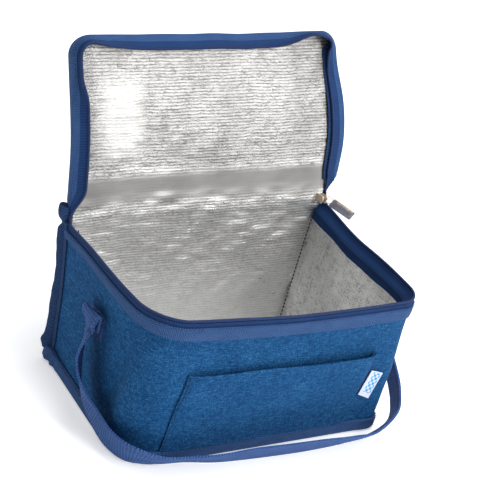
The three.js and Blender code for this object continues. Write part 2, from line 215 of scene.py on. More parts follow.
def lid_point(x, d, h):
    """A point of the open lid: across, away from the hinge, and outwards."""
    nominal = (x * HALF_X / (HALF_X + FLARE_X) + HALF_X) / (2 * HALF_X)
    share = nominal * HINGE_SHARE * (1 - d / LID_LENGTH)
    reach = np.clip(d / LID_LENGTH, 0, 1.05)
    left = smooth(60, -LID_HALF_X, x)
    right = smooth(40, LID_HALF_X, x)
    bulge = smooth(-3, 17, d) * (1 - smooth(40, LID_LENGTH, d))
    x = x - left * (5.0 * reach + 1.8 * np.sin(math.pi * np.clip(reach, 0, 1)))
    x = x + right * (10.5 * bulge - 4.5 * smooth(50, LID_LENGTH, d))
    d = np.where(d > 0, d * LID_SHRINK, d) - reach * (4.8 - 1.8 * left - 0.6 * right)
    h = h - LID_CURL * reach**1.6 - LID_BOW * np.sin(math.pi * np.clip(reach, 0, 1)) ** 1.2
    closed = np.stack(np.broadcast_arrays(x - share * CORNER_IN, share * CORNER_BACK - d, h), -1)
    closed = closed - HINGE_MIDDLE
    axis = np.array([2 * LID_HALF_X - CORNER_IN * HINGE_SHARE, CORNER_BACK * HINGE_SHARE, 0.0])
    axis = axis / np.linalg.norm(axis)
    along = (closed @ axis)[..., None] * axis
    turned = along + (closed - along) * math.cos(LID_OPEN)
    turned = turned - np.cross(axis, closed) * math.sin(LID_OPEN)
    return settle(turned + HINGE_MIDDLE + np.array([0, HINGE_Y, HINGE_Z])) * MM


def back_or_lid(x, v, h):
    """The back panel and the lid as one sheet. v is the height over the hinge
    line, on along the lid; h is outwards from the sheet's middle."""
    z = HINGE_Z + v
    belly = np.sin(math.pi * np.clip(z / HINGE_Z, 0, 1))
    h_back = h + 0.9 * belly * waves(21, 5, 60, 130, x, v)
    on_back = taper(x * HALF_X / (HALF_X + FLARE_X), HALF_Y - PANEL_HALF + h_back, z)
    share = np.clip(v / LID_LENGTH, 0, 1)
    on_lid = lid_point(x, v, h + 0.9 * share * waves(22, 5, 60, 130, x, v))
    w = smooth(-13, 13, v)[..., None]
    return on_back * (1 - w) + on_lid * w


# --- mesh builders


def put_in_scene(name, data):
    thing = bpy.data.objects.new(name, data)
    bpy.context.scene.collection.objects.link(thing)
    return thing


def make_object(name, vertices, faces, uv, look, sharp=40):
    mesh = bpy.data.meshes.new(name)
    mesh.from_pydata(vertices.tolist(), [], faces)
    layer = mesh.uv_layers.new(name="cloth")
    loops = np.empty(len(mesh.loops), int)
    mesh.loops.foreach_get("vertex_index", loops)
    layer.data.foreach_set("uv", uv[loops].astype(np.float32).ravel())
    mesh.polygons.foreach_set("use_smooth", [True] * len(mesh.polygons))
    mesh.set_sharp_from_angle(angle=math.radians(sharp))
    mesh.update()
    mesh.materials.append(look)
    return put_in_scene(name, mesh)


def grid_faces(rows, columns, first=0, wrap=False, turned=False):
    faces = []
    last = columns if wrap else columns - 1
    for i in range(rows - 1):
        for j in range(last):
            k = (j + 1) % columns
            a = first + i * columns + j
            b = first + i * columns + k
            quad = (a, b, b + columns, a + columns)
            faces.append(quad[::-1] if turned else quad)
    return faces


def grid_normals(points):
    across = np.cross(np.gradient(points, axis=0), np.gradient(points, axis=1))
    return across / np.maximum(np.linalg.norm(across, axis=-1, keepdims=True), 1e-12)


def grid_lengths(points):
    """Arc lengths in millimetres along the middle row and column of a grid."""
    rows, columns = points.shape[:2]
    steps_u = np.linalg.norm(np.diff(points[:, columns // 2], axis=0), axis=1)
    steps_v = np.linalg.norm(np.diff(points[rows // 2], axis=0), axis=1)
    u = np.concatenate([[0], np.cumsum(steps_u)]) / MM
    v = np.concatenate([[0], np.cumsum(steps_v)]) / MM
    return np.stack(np.meshgrid(u, v, indexing="ij"), -1)


def slab(name, points, thickness, look, body=None, sharp=50):
    """A closed sheet: the grid of points, and a copy that far behind it."""
    rows, columns = points.shape[:2]
    behind = points - grid_normals(points) * thickness * MM
    count = rows * columns
    faces = grid_faces(rows, columns)
    faces += grid_faces(rows, columns, count, turned=True)
    edge = [i * columns for i in range(rows)]
    edge += [(rows - 1) * columns + j for j in range(1, columns)]
    edge += [i * columns + columns - 1 for i in range(rows - 2, -1, -1)]
    edge += list(range(columns - 2, 0, -1))
    for a, b in zip(edge, edge[1:] + edge[:1]):
        faces.append((a, b, b + count, a + count))
    vertices = np.concatenate([points.reshape(-1, 3), behind.reshape(-1, 3)])
    uv = grid_lengths(points).reshape(-1, 2)
    piece = make_object(name, vertices, faces, np.concatenate([uv, uv]), look, sharp)
    if body:
        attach(piece, body)
    return piece


def tube(name, rings, look, body=None, closed=False, sharp=60):
    """A skin over rings of points, which must not repeat their first point."""
    rows, columns = rings.shape[:2]
    uv = grid_lengths(np.concatenate([rings, rings[:, :1]], 1))[:, :columns]
    faces = grid_faces(rows, columns, wrap=True)
    if closed:
        last = (rows - 1) * columns
        for j in range(columns):
            k = (j + 1) % columns
            faces.append((last + j, last + k, k, j))
    else:
        faces.append(tuple(range(columns))[::-1])
        faces.append(tuple((rows - 1) * columns + j for j in range(columns)))
    piece = make_object(name, rings.reshape(-1, 3), faces, uv.reshape(-1, 2), look, sharp)
    if body:
        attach(piece, body)
    return piece


def disc(name, rims, look, body):
    """Plates made of closed outlines drawn together to their centre."""
    shares = np.linspace(1, 0.04, 14)
    low = rims[0].mean(0) + (rims[0] - rims[0].mean(0)) * shares[:, None, None]
    high = rims[1].mean(0) + (rims[1] - rims[1].mean(0)) * shares[:, None, None]
    rings = np.concatenate([low[::-1], high])
    piece = tube(name, rings, look, body)
    flat = rings.reshape(-1, 3)[:, :2] / MM
    loops = np.empty(len(piece.data.loops), int)
    piece.data.loops.foreach_get("vertex_index", loops)
    piece.data.uv_layers[0].data.foreach_set("uv", flat[loops].astype(np.float32).ravel())
    return piece


def grid(us, vs):
    return np.meshgrid(us, vs, indexing="ij")


def join(name, pieces):
    """One object from several, keeping the first one's body and materials."""
    with bpy.context.temp_override(
        active_object=pieces[0], selected_editable_objects=pieces
    ):
        bpy.ops.object.join()
    pieces[0].name = name
    return pieces[0]


def sweep(centres, across, up, outline):
    """Rings of an outline (pairs: across, up, in millimetres) along a line."""
    outline = np.asarray(outline, float) * MM
    a = across[:, None, :] * outline[None, :, 0:1]
    b = up[:, None, :] * outline[None, :, 1:2]
    return centres[:, None, :] + a + b


def unit(vectors):
    return vectors / np.linalg.norm(vectors, axis=-1, keepdims=True)


def line_and_outward(place, out):
    """A line given as a function of how far out it is, and the directions outwards."""
    line = place(out)
    return line, unit(place(out + 1.0) - line)


def circle(radius, count, flat=1.0):
    angles = np.linspace(0, 2 * math.pi, count, endpoint=False)
    return np.stack([radius * np.cos(angles), flat * radius * np.sin(angles)], -1)


def resample(points, spacing):
    """Evenly spaced points on a polyline, and the tangents there."""
    steps = np.linalg.norm(np.diff(points, axis=0), axis=1)
    along = np.concatenate([[0], np.cumsum(steps)])
    count = max(2, int(round(along[-1] / (spacing * MM))) + 1)
    at = np.linspace(0, along[-1], count)
    even = np.stack([np.interp(at, along, points[:, k]) for k in range(3)], -1)
    return even, unit(np.gradient(even, axis=0)), at / MM


def frame_along(line, normals, spacing):
    """Evenly spaced centres on a line with their tangent, up and side directions."""
    centres, tangents, at = resample(line, spacing)
    source = np.linspace(0, 1, len(line))
    target = np.linspace(0, 1, len(centres))
    up = np.stack([np.interp(target, source, normals[:, k]) for k in range(3)], -1)
    up = unit(up - tangents * (up * tangents).sum(-1, keepdims=True))
    return centres, tangents, up, np.cross(tangents, up), at


def coil(name, line, normals, look, body):
    """A nylon zip coil: a rod that swells at each tooth."""
    centres, _, up, across, at = frame_along(line, normals, COIL_PITCH / 4)
    swell = 0.68 + 0.32 * np.abs(np.sin(math.pi * at / COIL_PITCH))
    rings = sweep(centres, across * swell[:, None], up * swell[:, None], circle(COIL_RADIUS, 8))
    return tube(name, rings, look, body, sharp=70)


def stitches(name, line, normals, look, body, length=2.1, gap=1.1, lift=0.15, thick=1.0):
    """A row of thread stitches on a line, each a flattened lozenge."""
    centres, tangents, up, side, _ = frame_along(line, normals, (length + gap) / 2)
    # Shares of the length, radii and heights of each lozenge's rings.
    profile = [(-0.5, 0.04, -0.1), (-0.3, 0.24, 0.25), (0.3, 0.24, 0.25), (0.5, 0.04, -0.1)]
    sides = 6
    angles = np.linspace(0, 2 * math.pi, sides, endpoint=False)
    vertices = []
    faces = []
    for centre, tangent, u, s in zip(centres[::2], tangents[::2], up[::2], side[::2]):
        first = len(vertices)
        for share, radius, height in profile:
            middle = centre + (tangent * share * length + u * (height + lift - 0.15)) * MM
            for angle in angles:
                ring = s * math.cos(angle) + u * math.sin(angle)
                vertices.append(middle + ring * radius * thick * MM)
        last = first + (len(profile) - 1) * sides
        faces += grid_faces(len(profile), sides, first, wrap=True)
        faces.append(tuple(range(first, first + sides))[::-1])
        faces.append(tuple(range(last, last + sides)))
    vertices = np.array(vertices)
    piece = make_object(name, vertices, faces, vertices[:, :2] / MM, look, 80)
    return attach(piece, body)


# --- materials


class Look:
    """A node material built up by small calls."""

    def __init__(self, name):
        self.material = bpy.data.materials.new(name)
        self.material.use_nodes = True
        self.nodes = self.material.node_tree.nodes
        self.links = self.material.node_tree.links
        self.shader = self.nodes["Principled BSDF"]

    def put(self, socket, value):
        if isinstance(value, bpy.types.NodeSocket):
            self.links.new(value, socket)
        else:
            socket.default_value = value

    def add(self, kind, inputs, **settings):
        """A node of that kind with its settings, and its inputs by number or name."""
        node = self.nodes.new("ShaderNode" + kind)
        for name, value in settings.items():
            setattr(node, name, value)
        for key, value in inputs.items():
            self.put(node.inputs[key], value)
        return node

    def math(self, operation, a, b=0.0):
        return self.add("Math", {0: a, 1: b}, operation=operation).outputs[0]

    def times(self, a, b):
        return self.math("MULTIPLY", a, b)

    def plus(self, a, b):
        return self.math("ADD", a, b)

    def away(self, value, middle):
        """The distance of a value from a middle."""
        return self.math("ABSOLUTE", self.math("SUBTRACT", value, middle))

    def total(self, *parts):
        """The sum of (value, weight) pairs."""
        result = self.times(*parts[0])
        for value, weight in parts[1:]:
            result = self.plus(result, self.times(value, weight))
        return result

    def step(self, value, low, high):
        """0 below low, 1 above high, smooth between."""
        return self.add("MapRange", {0: value, 1: low, 2: high}, interpolation_type="SMOOTHSTEP").outputs[0]

    def cloth(self):
        """The sheet's own millimetres: along it and across it."""
        uv = self.add("UVMap", {}, uv_map="cloth")
        split = self.add("SeparateXYZ", {0: uv.outputs[0]})
        return split.outputs[0], split.outputs[1]

    def vector(self, x, y, z=0.0):
        return self.add("CombineXYZ", {0: x, 1: y, 2: z}).outputs[0]

    def noise(self, u, v, per_u, per_v, seed=0.0, detail=2.0, roughness=0.5):
        """Noise with that many features for each millimetre along and across."""
        place = self.vector(self.times(u, per_u), self.times(v, per_v), seed)
        inputs = {"Vector": place, "Scale": 1.0, "Detail": detail, "Roughness": roughness}
        return self.add("TexNoise", inputs).outputs[0]

    def wave(self, value, length):
        return self.math("SINE", self.times(value, 2 * math.pi / length))

    def ramp(self, value, stops):
        node = self.add("ValToRGB", {0: value})
        ramp = node.color_ramp
        while len(ramp.elements) < len(stops):
            ramp.elements.new(0.5)
        for element, (position, color) in zip(ramp.elements, stops):
            element.position = position
            element.color = (*color, 1)
        return node.outputs[0]

    def mix(self, factor, a, b, blend="MIX"):
        inputs = {0: factor, 6: a, 7: b}
        return self.add("Mix", inputs, data_type="RGBA", blend_type=blend).outputs[2]

    def bump(self, height, strength, distance):
        inputs = {"Strength": strength, "Distance": distance * MM, "Height": height}
        self.put(self.shader.inputs["Normal"], self.add("Bump", inputs).outputs[0])

    def finish(self, **values):
        for name, value in values.items():
            self.put(self.shader.inputs[name.replace("_", " ")], value)
        return self.material


# Lengths of the cloths' own patterns.
WEAVE = 1.2
TWILL = 2.0
TWILL_TURN = 5.5  # the width after which the twill turns back
FOIL_ROW = 2.4


def grey(level):
    return (level, level, level)


def heather(name, dark, middle, light):
    """Two-tone yarns in a plain weave: short streaks along the cloth, finer ones up it."""
    look = Look(name)
    u, v = look.cloth()
    along = look.noise(u, v, 0.22, 1.9, 1.3, 3.0, 0.6)
    across = look.noise(u, v, 1.9, 0.35, 7.7, 2.0, 0.6)
    grain = look.noise(u, v, 1.3, 1.3, 3.1, 1.0)
    cloud = look.noise(u, v, 0.035, 0.035, 4.0)
    flecks = look.total((along, 0.40), (across, 0.32), (grain, 0.26), (cloud, 0.08))
    color = look.ramp(flecks, [(0.41, dark), (0.53, middle), (0.64, light)])
    weave = look.times(look.wave(u, WEAVE), look.wave(v, WEAVE))
    look.bump(look.total((weave, 0.3), (flecks, 1.6)), 0.5, 0.22)
    return look.finish(Base_Color=color, Roughness=0.9, Specular_IOR_Level=0.12)


def webbing(name, dark, light, rib, slant, strength=1.0):
    """Woven tape: ribs across it, and a twill that turns back on itself."""
    look = Look(name)
    u, v = look.cloth()
    saw = look.math("PINGPONG", v, TWILL_TURN)
    twill = look.wave(look.total((u, 1.0), (saw, slant)), TWILL)
    ribs = look.wave(u, rib)
    speckle = look.noise(u, v, 1.1, 1.1, 2.0, 3.0, 0.6)
    wear = look.noise(u, v, 0.06, 0.2, 6.0)
    height = look.total((ribs, 0.45), (twill, 0.55))
    tone = look.total((height, 0.26), (speckle, 0.55), (wear, 0.35))
    color = look.ramp(tone, [(0.28, dark), (0.72, light)])
    look.bump(height, strength, 0.35)
    return look.finish(Base_Color=color, Roughness=0.82, Specular_IOR_Level=0.2)


def foil(name, tint, calm, rows, relief, streaks=0.0, painted_light=None):
    """Metallised film: rows of fine embossing, broken into dashes, over crumples.
    calm is the middle and reach of the stretch up the sheet that is pressed smooth, coloured a flat dark
    grey as painted shade.
    The last argument places the painted highlight and painted shade on the sheet that runs on over the lid."""
    look = Look(name)
    u, v = look.cloth()
    drift = look.noise(u, v, 0.03, 0.03, 9.0)
    wander = look.noise(u, v, 0.15, 0.3, 2.2)
    bent = look.total((v, 1.0), (drift, 3.0), (wander, 1.0))
    dashes = look.noise(u, bent, 0.42, 1.1, 3.5, 2.0, 0.6)
    sparkle = look.noise(u, v, 0.9, 1.3, 6.1, 3.0, 0.75)
    crumple = look.noise(u, v, 0.16, 0.26, 5.5, 4.0, 0.62)
    upright = look.noise(u, v, 1.1, 0.04, 8.5, 2.0)
    patch = look.noise(u, v, 0.022, 0.016, 12.0, 2.0, 0.55)
    dull = look.step(look.noise(u, v, 0.03, 0.03, 17.0, 2.0), 0.35, 0.65)
    broken = look.times(look.wave(bent, FOIL_ROW), look.step(dashes, 0.40, 0.60))
    smoothed = look.step(look.away(v, calm[0]), calm[1] - 6, calm[1] + 6)
    lively = look.plus(look.times(smoothed, 0.85), 0.15)

    # Painted glints and painted shade: the foil's colour follows the embossing, crumple and streak noise,
    # lighter on its crests and darker in its grooves.
    shade = look.total(
        (broken, 0.34 * rows), (dashes, 0.40), (sparkle, 0.66), (crumple, 0.34), (upright, 0.35 * streaks)
    )
    middle = 0.675 + 0.085 * rows + 0.175 * streaks
    bright = look.step(shade, middle - 0.22, middle + 0.20)
    painted_glints_and_shade = look.ramp(bright, [(0.0, grey(0.26)), (0.30, grey(0.68)), (0.62, grey(0.93)), (1.0, grey(1.0))])
    # Painted shade: the smooth stretch is coloured a flat dark grey in place of its dark reflection.
    flat = look.mix(smoothed, (0.27, 0.27, 0.27, 1), painted_glints_and_shade)
    broad = look.ramp(patch, [(0.36, grey(0.78)), (0.5, grey(0.92)), (0.62, grey(1.0))])
    color = look.mix(1.0, look.mix(1.0, (*tint, 1), flat, "MULTIPLY"), broad, "MULTIPLY")
    if painted_light:
        color = lid_painted_light(look, u, v, calm, painted_light, sparkle, color)
        # Painted shade darkens the back below the fold.
        on_back = look.step(v, calm[0] - calm[1] + 4, calm[0] - calm[1] - 14)
        color = look.mix(look.times(on_back, 0.42), color, (0.66, 0.66, 0.655, 1))
        lively = look.times(lively, look.math("SUBTRACT", 1.0, look.times(on_back, 0.3)))
        # A painted reflection lightens the lower part of the back.
        low_down = look.step(v, 95.0, 35.0)
        color = look.mix(look.times(low_down, 0.5), color, (1.0, 1.0, 0.98, 1))

    relief_parts = [(broken, 0.35 * rows), (dashes, 0.7), (sparkle, 1.1), (crumple, 1.3), (upright, streaks)]
    look.bump(look.times(look.total(*relief_parts), lively), 1.0, relief)
    rough = look.total((crumple, 0.25), (dull, 0.14))
    return look.finish(Base_Color=color, Metallic=0.85, Roughness=look.plus(rough, 0.18))


def lid_painted_light(look, u, v, calm, painted_light, sparkle, color):
    """The lid's side of the foil: darkened by painted shade, with a painted highlight in a patch
    and painted shade in dark dashes beyond an edge at its left."""
    (patch_u, patch_v), (reach_u, reach_v), edge = painted_light
    # Painted shade darkens the whole lid.
    on_lid = look.step(v, calm[0] + calm[1] - 6, calm[0] + calm[1] + 8)
    color = look.mix(look.times(on_lid, 0.43), color, (0.0, 0.0, 0.0, 1))
    # A painted highlight in a patch.
    across = look.step(look.away(u, patch_u), reach_u, 0.25 * reach_u)
    along = look.step(look.away(v, patch_v), reach_v, 0.4 * reach_v)
    color = look.mix(look.times(look.times(across, along), 0.38), color, (1.0, 0.99, 0.97, 1))
    # Painted shade in dark dashes beyond the edge at the left.
    painted_shade_dashes = look.times(look.step(u, edge, edge + 7), look.step(v, calm[0] + 8, calm[0] + 25))
    painted_shade_dashes = look.times(painted_shade_dashes, look.step(sparkle, 0.62, 0.38))
    return look.mix(look.times(painted_shade_dashes, 0.8), color, (0.10, 0.10, 0.105, 1))


def plain(name, color, roughness, metallic=0.0, grain=0.0, speckle=0.06, per_mm=0.9, shine=0.5):
    """A finish with slight mottling and a fine grain."""
    look = Look(name)
    u, v = look.cloth()
    mottle = look.noise(u, v, per_mm, per_mm, 2.5, 3.0, 0.6)
    low = tuple(c * (1 - speckle) for c in color)
    high = tuple(min(1, c * (1 + speckle)) for c in color)
    shade = look.ramp(mottle, [(0.3, low), (0.7, high)])
    if grain:
        look.bump(mottle, grain, 0.2)
    rough = look.plus(look.times(mottle, 0.1), roughness - 0.05)
    return look.finish(Base_Color=shade, Metallic=metallic, Roughness=rough, Specular_IOR_Level=shine)


HEATHER = heather("heather_polyester", (0.002, 0.026, 0.085), (0.005, 0.055, 0.165), (0.030, 0.140, 0.310))
WEBBING = webbing("ribbed_webbing", (0.015, 0.049, 0.148), (0.055, 0.129, 0.312), 1.3, 1.0)
BINDING = webbing("binding_webbing", (0.008, 0.028, 0.090), (0.024, 0.066, 0.175), 1.2, 0.0)
STRAP = webbing("strap_webbing", (0.016, 0.050, 0.17), (0.055, 0.130, 0.34), 2.6, 1.3, 0.9)
ZIP_TAPE = webbing("zip_tape_weave", (0.004, 0.020, 0.080), (0.012, 0.050, 0.160), 0.9, 0.0, 0.3)
COIL = plain("zip_coil_nylon", (0.009, 0.026, 0.095), 0.6, shine=0.25)
FOAM = plain("closed_cell_foam", (0.85, 0.85, 0.82), 0.95, grain=0.4)
FOIL_WALLS = foil("foil_on_walls", (1.0, 1.0, 0.99), (-60.0, 8.0), 0.15, 0.55, 0.6)
# Painted light on the lid's foil: the middle and reach of a painted highlight, and the edge beyond which
# dashes of painted shade begin.
LID_PAINTED_LIGHT = ((193.0, 200.0), (26.0, 40.0), 213.0)
FOIL_LID = foil("foil_on_back_and_lid", (1.0, 0.985, 0.96), (146.0, 12.0), 0.7, 0.29, painted_light=LID_PAINTED_LIGHT)
THREAD = plain("sewing_thread", (0.014, 0.045, 0.16), 0.75)
PALE_THREAD = plain("pale_thread", (0.07, 0.15, 0.36), 0.75)
DARK_THREAD = plain("dark_thread", (0.015, 0.017, 0.02), 0.8)
NICKEL = plain("warm_nickel", (0.80, 0.68, 0.55), 0.33, 0.95, speckle=0.12, per_mm=0.5)


def skin(piece, slot, *nodes):
    """Hides the nodes that a piece stands for. The slot is not used."""
    if nodes:
        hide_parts(*nodes)
    return piece


def sew(name, place, out, body, slot):
    """A row of stitches on a line that is given by how far out it is."""
    line, outward = line_and_outward(place, out)
    skin(stitches(name, line, outward, THREAD, body), slot)


# --- bag's walls


def add_walls():
    ts, zs = grid(np.linspace(1.1, WRAP - 1.1, 220), np.linspace(0.4, FABRIC_TOP, 48))
    skin(slab("wrap_fabric", wall(ts, zs, 0), 0.8, HEATHER, "bag"), "outer_fabric", "outer_wrap_panel")

    ts, zs = grid(np.linspace(TAPE_GAP, WRAP - TAPE_GAP, 90), np.linspace(4.4, FOAM_TOP, 12))
    foam = slab("wrap_foam", wall(ts, zs, -1.1), 3, FOAM, "bag")
    skin(foam, "foam", "wall_foam")

    ts, zs = grid(np.linspace(LINING_GAP, WRAP - LINING_GAP, 260), np.linspace(5.2, LINING_TOP, 60))
    crinkle = 0.25 * waves(31, 14, 7, 16, ts, zs * 0.4) + 0.5 * waves(33, 6, 24, 50, ts, zs)
    crinkle = np.clip(crinkle, -1.2, 0.3) * smooth(0, 8, zs - 5) * smooth(0, 10, 102 - zs)
    lining = wall(ts, zs, -4.6 + crinkle)
    skin(slab("wrap_lining", lining, 0.4, FOIL_WALLS, "bag"), "foil_lining", "wall_lining")


def outline_at(depth, z, count=150):
    """The closed plan at one depth inside the outer face, as points."""
    t = np.linspace(0, WRAP, count)
    x, y, nx, ny = plan(t)
    x = x + nx * (slack(t, z) - depth)
    y = np.minimum(y + ny * (slack(t, z) - depth), HALF_Y - depth)
    across = np.linspace(HALF_X - depth, -HALF_X + depth, 40)[1:-1]
    x = np.concatenate([x, across])
    y = np.concatenate([y, np.full(len(across), HALF_Y - depth)])
    return taper(x, y, np.full(len(x), float(z)))


def add_floor_layers():
    layers = [
        ("floor_fabric", 0.0, 0.0, 0.8, HEATHER, "bottom_panel", "outer_fabric"),
        ("floor_foam", 1.1, 1.1, 4.1, FOAM, "bottom_foam", "foam"),
        ("floor_lining", 4.4, 4.4, 4.9, FOIL_WALLS, "bottom_lining", "foil_lining"),
    ]
    for name, depth, low, high, look, node, slot in layers:
        rims = [outline_at(depth, low), outline_at(depth, high)]
        piece = skin(disc(name, rims, look, "bag"), slot, node)


def quilt_grid(half_x, low, rows, columns, inset):
    """Across and up the back and the lid, with the lid's rounded corners."""
    length = LID_LENGTH - inset
    radius = LID_RADIUS - inset / 2
    us, vs = grid(np.linspace(-1, 1, rows), np.linspace(low, length, columns))
    into = np.clip(vs - (length - radius), 0, radius)
    half = half_x - (radius - np.sqrt(np.maximum(radius**2 - into**2, 0)))
    return us * half, vs


def add_back_and_lid():
    """Fabric, foam and foil run from the floor over the hinge to the lid's edge."""
    low = -HINGE_Z + 1.2
    # Half width, height over the sheet's middle, thickness, and rows and columns.
    layers = [
        ("back_and_lid_fabric", 118.2, PANEL_HALF, 0.8, 90, 110, HEATHER, "outer_fabric",
         ["back_panel", "lid_panel", "hinge_fold"]),
        ("back_and_lid_foam", 117.2, 1.35, 2.9, 40, 60, FOAM, "foam", ["back_foam", "lid_foam"]),
        ("back_and_lid_lining", 117.6, -2.0, 0.5, 150, 210, FOIL_LID, "foil_lining",
         ["back_lining", "lid_lining"]),
    ]
    for name, half, height, thickness, rows, columns, look, slot, nodes in layers:
        xs, vs = quilt_grid(half, low, rows, columns, 1.6)
        if slot == "foil_lining":
            creases = 0.25 * waves(32, 14, 6, 13, xs * 0.35, vs) + 0.5 * waves(34, 6, 24, 50, xs, vs)
            height = height + (1 - hump(vs, 16, 14)) * np.clip(creases, -1.2, 0.3)
        piece = slab(name, back_or_lid(xs, vs, height)[::-1], thickness, look)
        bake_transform(piece)
        skin(piece, slot, *nodes)


# --- rim, bindings and zip


def band_points(gap, bottom, top, out, bulge):
    """A strip round the wrap, from a lower edge given by the place along it."""
    ts, shares = grid(np.linspace(gap, WRAP - gap, 220), np.linspace(0, 1, 7))
    zs = bottom(ts) + (top - bottom(ts)) * shares
    return wall(ts, zs, out + bulge * np.sin(math.pi * shares))


def level(gap, z):
    """A level line round the wrap, by how far out it is."""
    t = np.linspace(gap, WRAP - gap, 300)
    return lambda out: wall(t, z + 0 * t, out)


def band_bottom(t):
    """The rim band narrows round the left side."""
    return BAND_BOTTOM + 3.2 * smooth(FRONT_START + 10, LEFT_RUN - 40, t) + 0.3 * np.sin(t / 17.0)


def inner_bottom(t):
    """The inner tape's lower edge wanders a little."""
    return INNER_TAPE_BOTTOM + 0.5 * np.sin(t / 11.0) + 0.3 * np.sin(t / 5.3 + 1.0)


def add_rim():
    band = band_points(RIM_GAP, band_bottom, BAND_TOP, 1.4, 0.4)
    skin(slab("rim_webbing", band, 1.0, WEBBING, "bag"), "webbing", "rim_band")
    sew("rim_stitches", level(RIM_GAP, BAND_TOP - 1.0), 1.6, "bag", "webbing")

    tape = band_points(TAPE_GAP, lambda t: TAPE_BOTTOM, TAPE_TOP, 0.2, 0.15)
    skin(slab("zip_tape_on_rim", tape, 0.7, ZIP_TAPE, "bag"), "zip_tape", "zipper_tape_rim")
    line = level(TAPE_GAP, COIL_Z)(-0.5)
    up = np.tile([0.0, 0.0, 1.0], (len(line), 1))
    skin(coil("zip_coil_on_rim", line, up, COIL, "bag"), "zip_coil", "zipper_coil_rim")

    ts, shares = grid(np.linspace(INNER_TAPE_GAP, WRAP - INNER_TAPE_GAP, 220), np.linspace(0, 1, 12))
    zs = inner_bottom(ts) + (INNER_TAPE_TOP - inner_bottom(ts)) * shares
    out = -6.2 + 4.0 * smooth(0.45, 1.0, shares) + 0.5 * np.sin(math.pi * 2 * shares) ** 2
    inner = slab("rim_inner_binding", wall(ts, zs, out)[::-1], 0.7, ZIP_TAPE, "bag")
    skin(inner, "zip_tape", "rim_inner_tape")
    line, outward = line_and_outward(level(INNER_TAPE_GAP, 113.0), -5.9)
    skin(stitches("rim_inner_stitches", line, -outward, THREAD, "bag"), "zip_tape")


def add_corner_seam():
    """The dark thread in the back corners, inside."""
    z = np.linspace(8, 120, 80)
    for name, side in (("seam_thread_left", -1), ("seam_thread_right", 1)):
        line = taper(side * (HALF_X - 6.8) + 0 * z, HALF_Y - 6.8 + 0 * z, z)
        inward = np.tile(unit(np.array([-side * 1.0, -1.0, 0.0])), (len(z), 1))
        skin(stitches(name, line, inward, DARK_THREAD, "bag", 3.0, 0.5, 0.5, 2.2), "foil_lining")


def add_base_binding():
    """Tape folded over the seam round the floor, in one ring."""
    count = 240
    back = 68
    t = np.linspace(0, WRAP, count)
    x, y, nx, ny = plan(t)
    across = np.linspace(HALF_X, -HALF_X, back + 2)[1:-1]
    x = np.concatenate([x, across])
    y = np.concatenate([y, np.full(back, HALF_Y)])
    nx = np.concatenate([nx, np.zeros(back)])
    ny = np.concatenate([ny, np.ones(back)])
    along = np.arange(len(x)) * 2.4
    slant = math.sqrt(0.5) * 1.3  # the two square corners at the back reach a little further
    for index, side in ((0, -1), (count - 1, 1)):
        nx[index] = side * slant
        ny[index] = slant
    profile = [
        (0.2, 0.3), (1.4, 0.05), (2.4, 0.6), (2.9, 2.2), (2.8, 5.0),
        (2.3, 8.2), (1.7, 10.0), (1.0, 10.5), (0.3, 10.1), (0.25, 5.0),
    ]
    lumpy = hump(t, 0, 16)
    lumpy = np.concatenate([lumpy, np.zeros(back)])
    rings = []
    ripple = 0.12 * np.sin(along / 9.0) + 0.12 * np.sin(along / 23.0 + 1)
    for out, z in profile:
        reach = out + (ripple + lumpy * (2.2 + 1.2 * np.sin(along / 1.6))) * (z > 1.0) * (out > 0.5)
        height = np.maximum(z + (0.15 * np.sin(along / 31.0) + 2.0 * lumpy) * (z > 6), 0.05)
        lift = slack(np.concatenate([t, np.full(back, WRAP)]), height) * (np.arange(len(x)) < count)
        rings.append(taper(x + nx * (reach + lift), y + ny * (reach + lift), height))
    skin(tube("base_webbing", np.stack(rings, 1), WEBBING, "bag", closed=True), "webbing", "base_binding")
    sew("base_stitches", level(2.0, 9.3), 2.3, "bag", "webbing")


BINDING_BOTTOM = 8.0
BINDING_TOP = 137.0


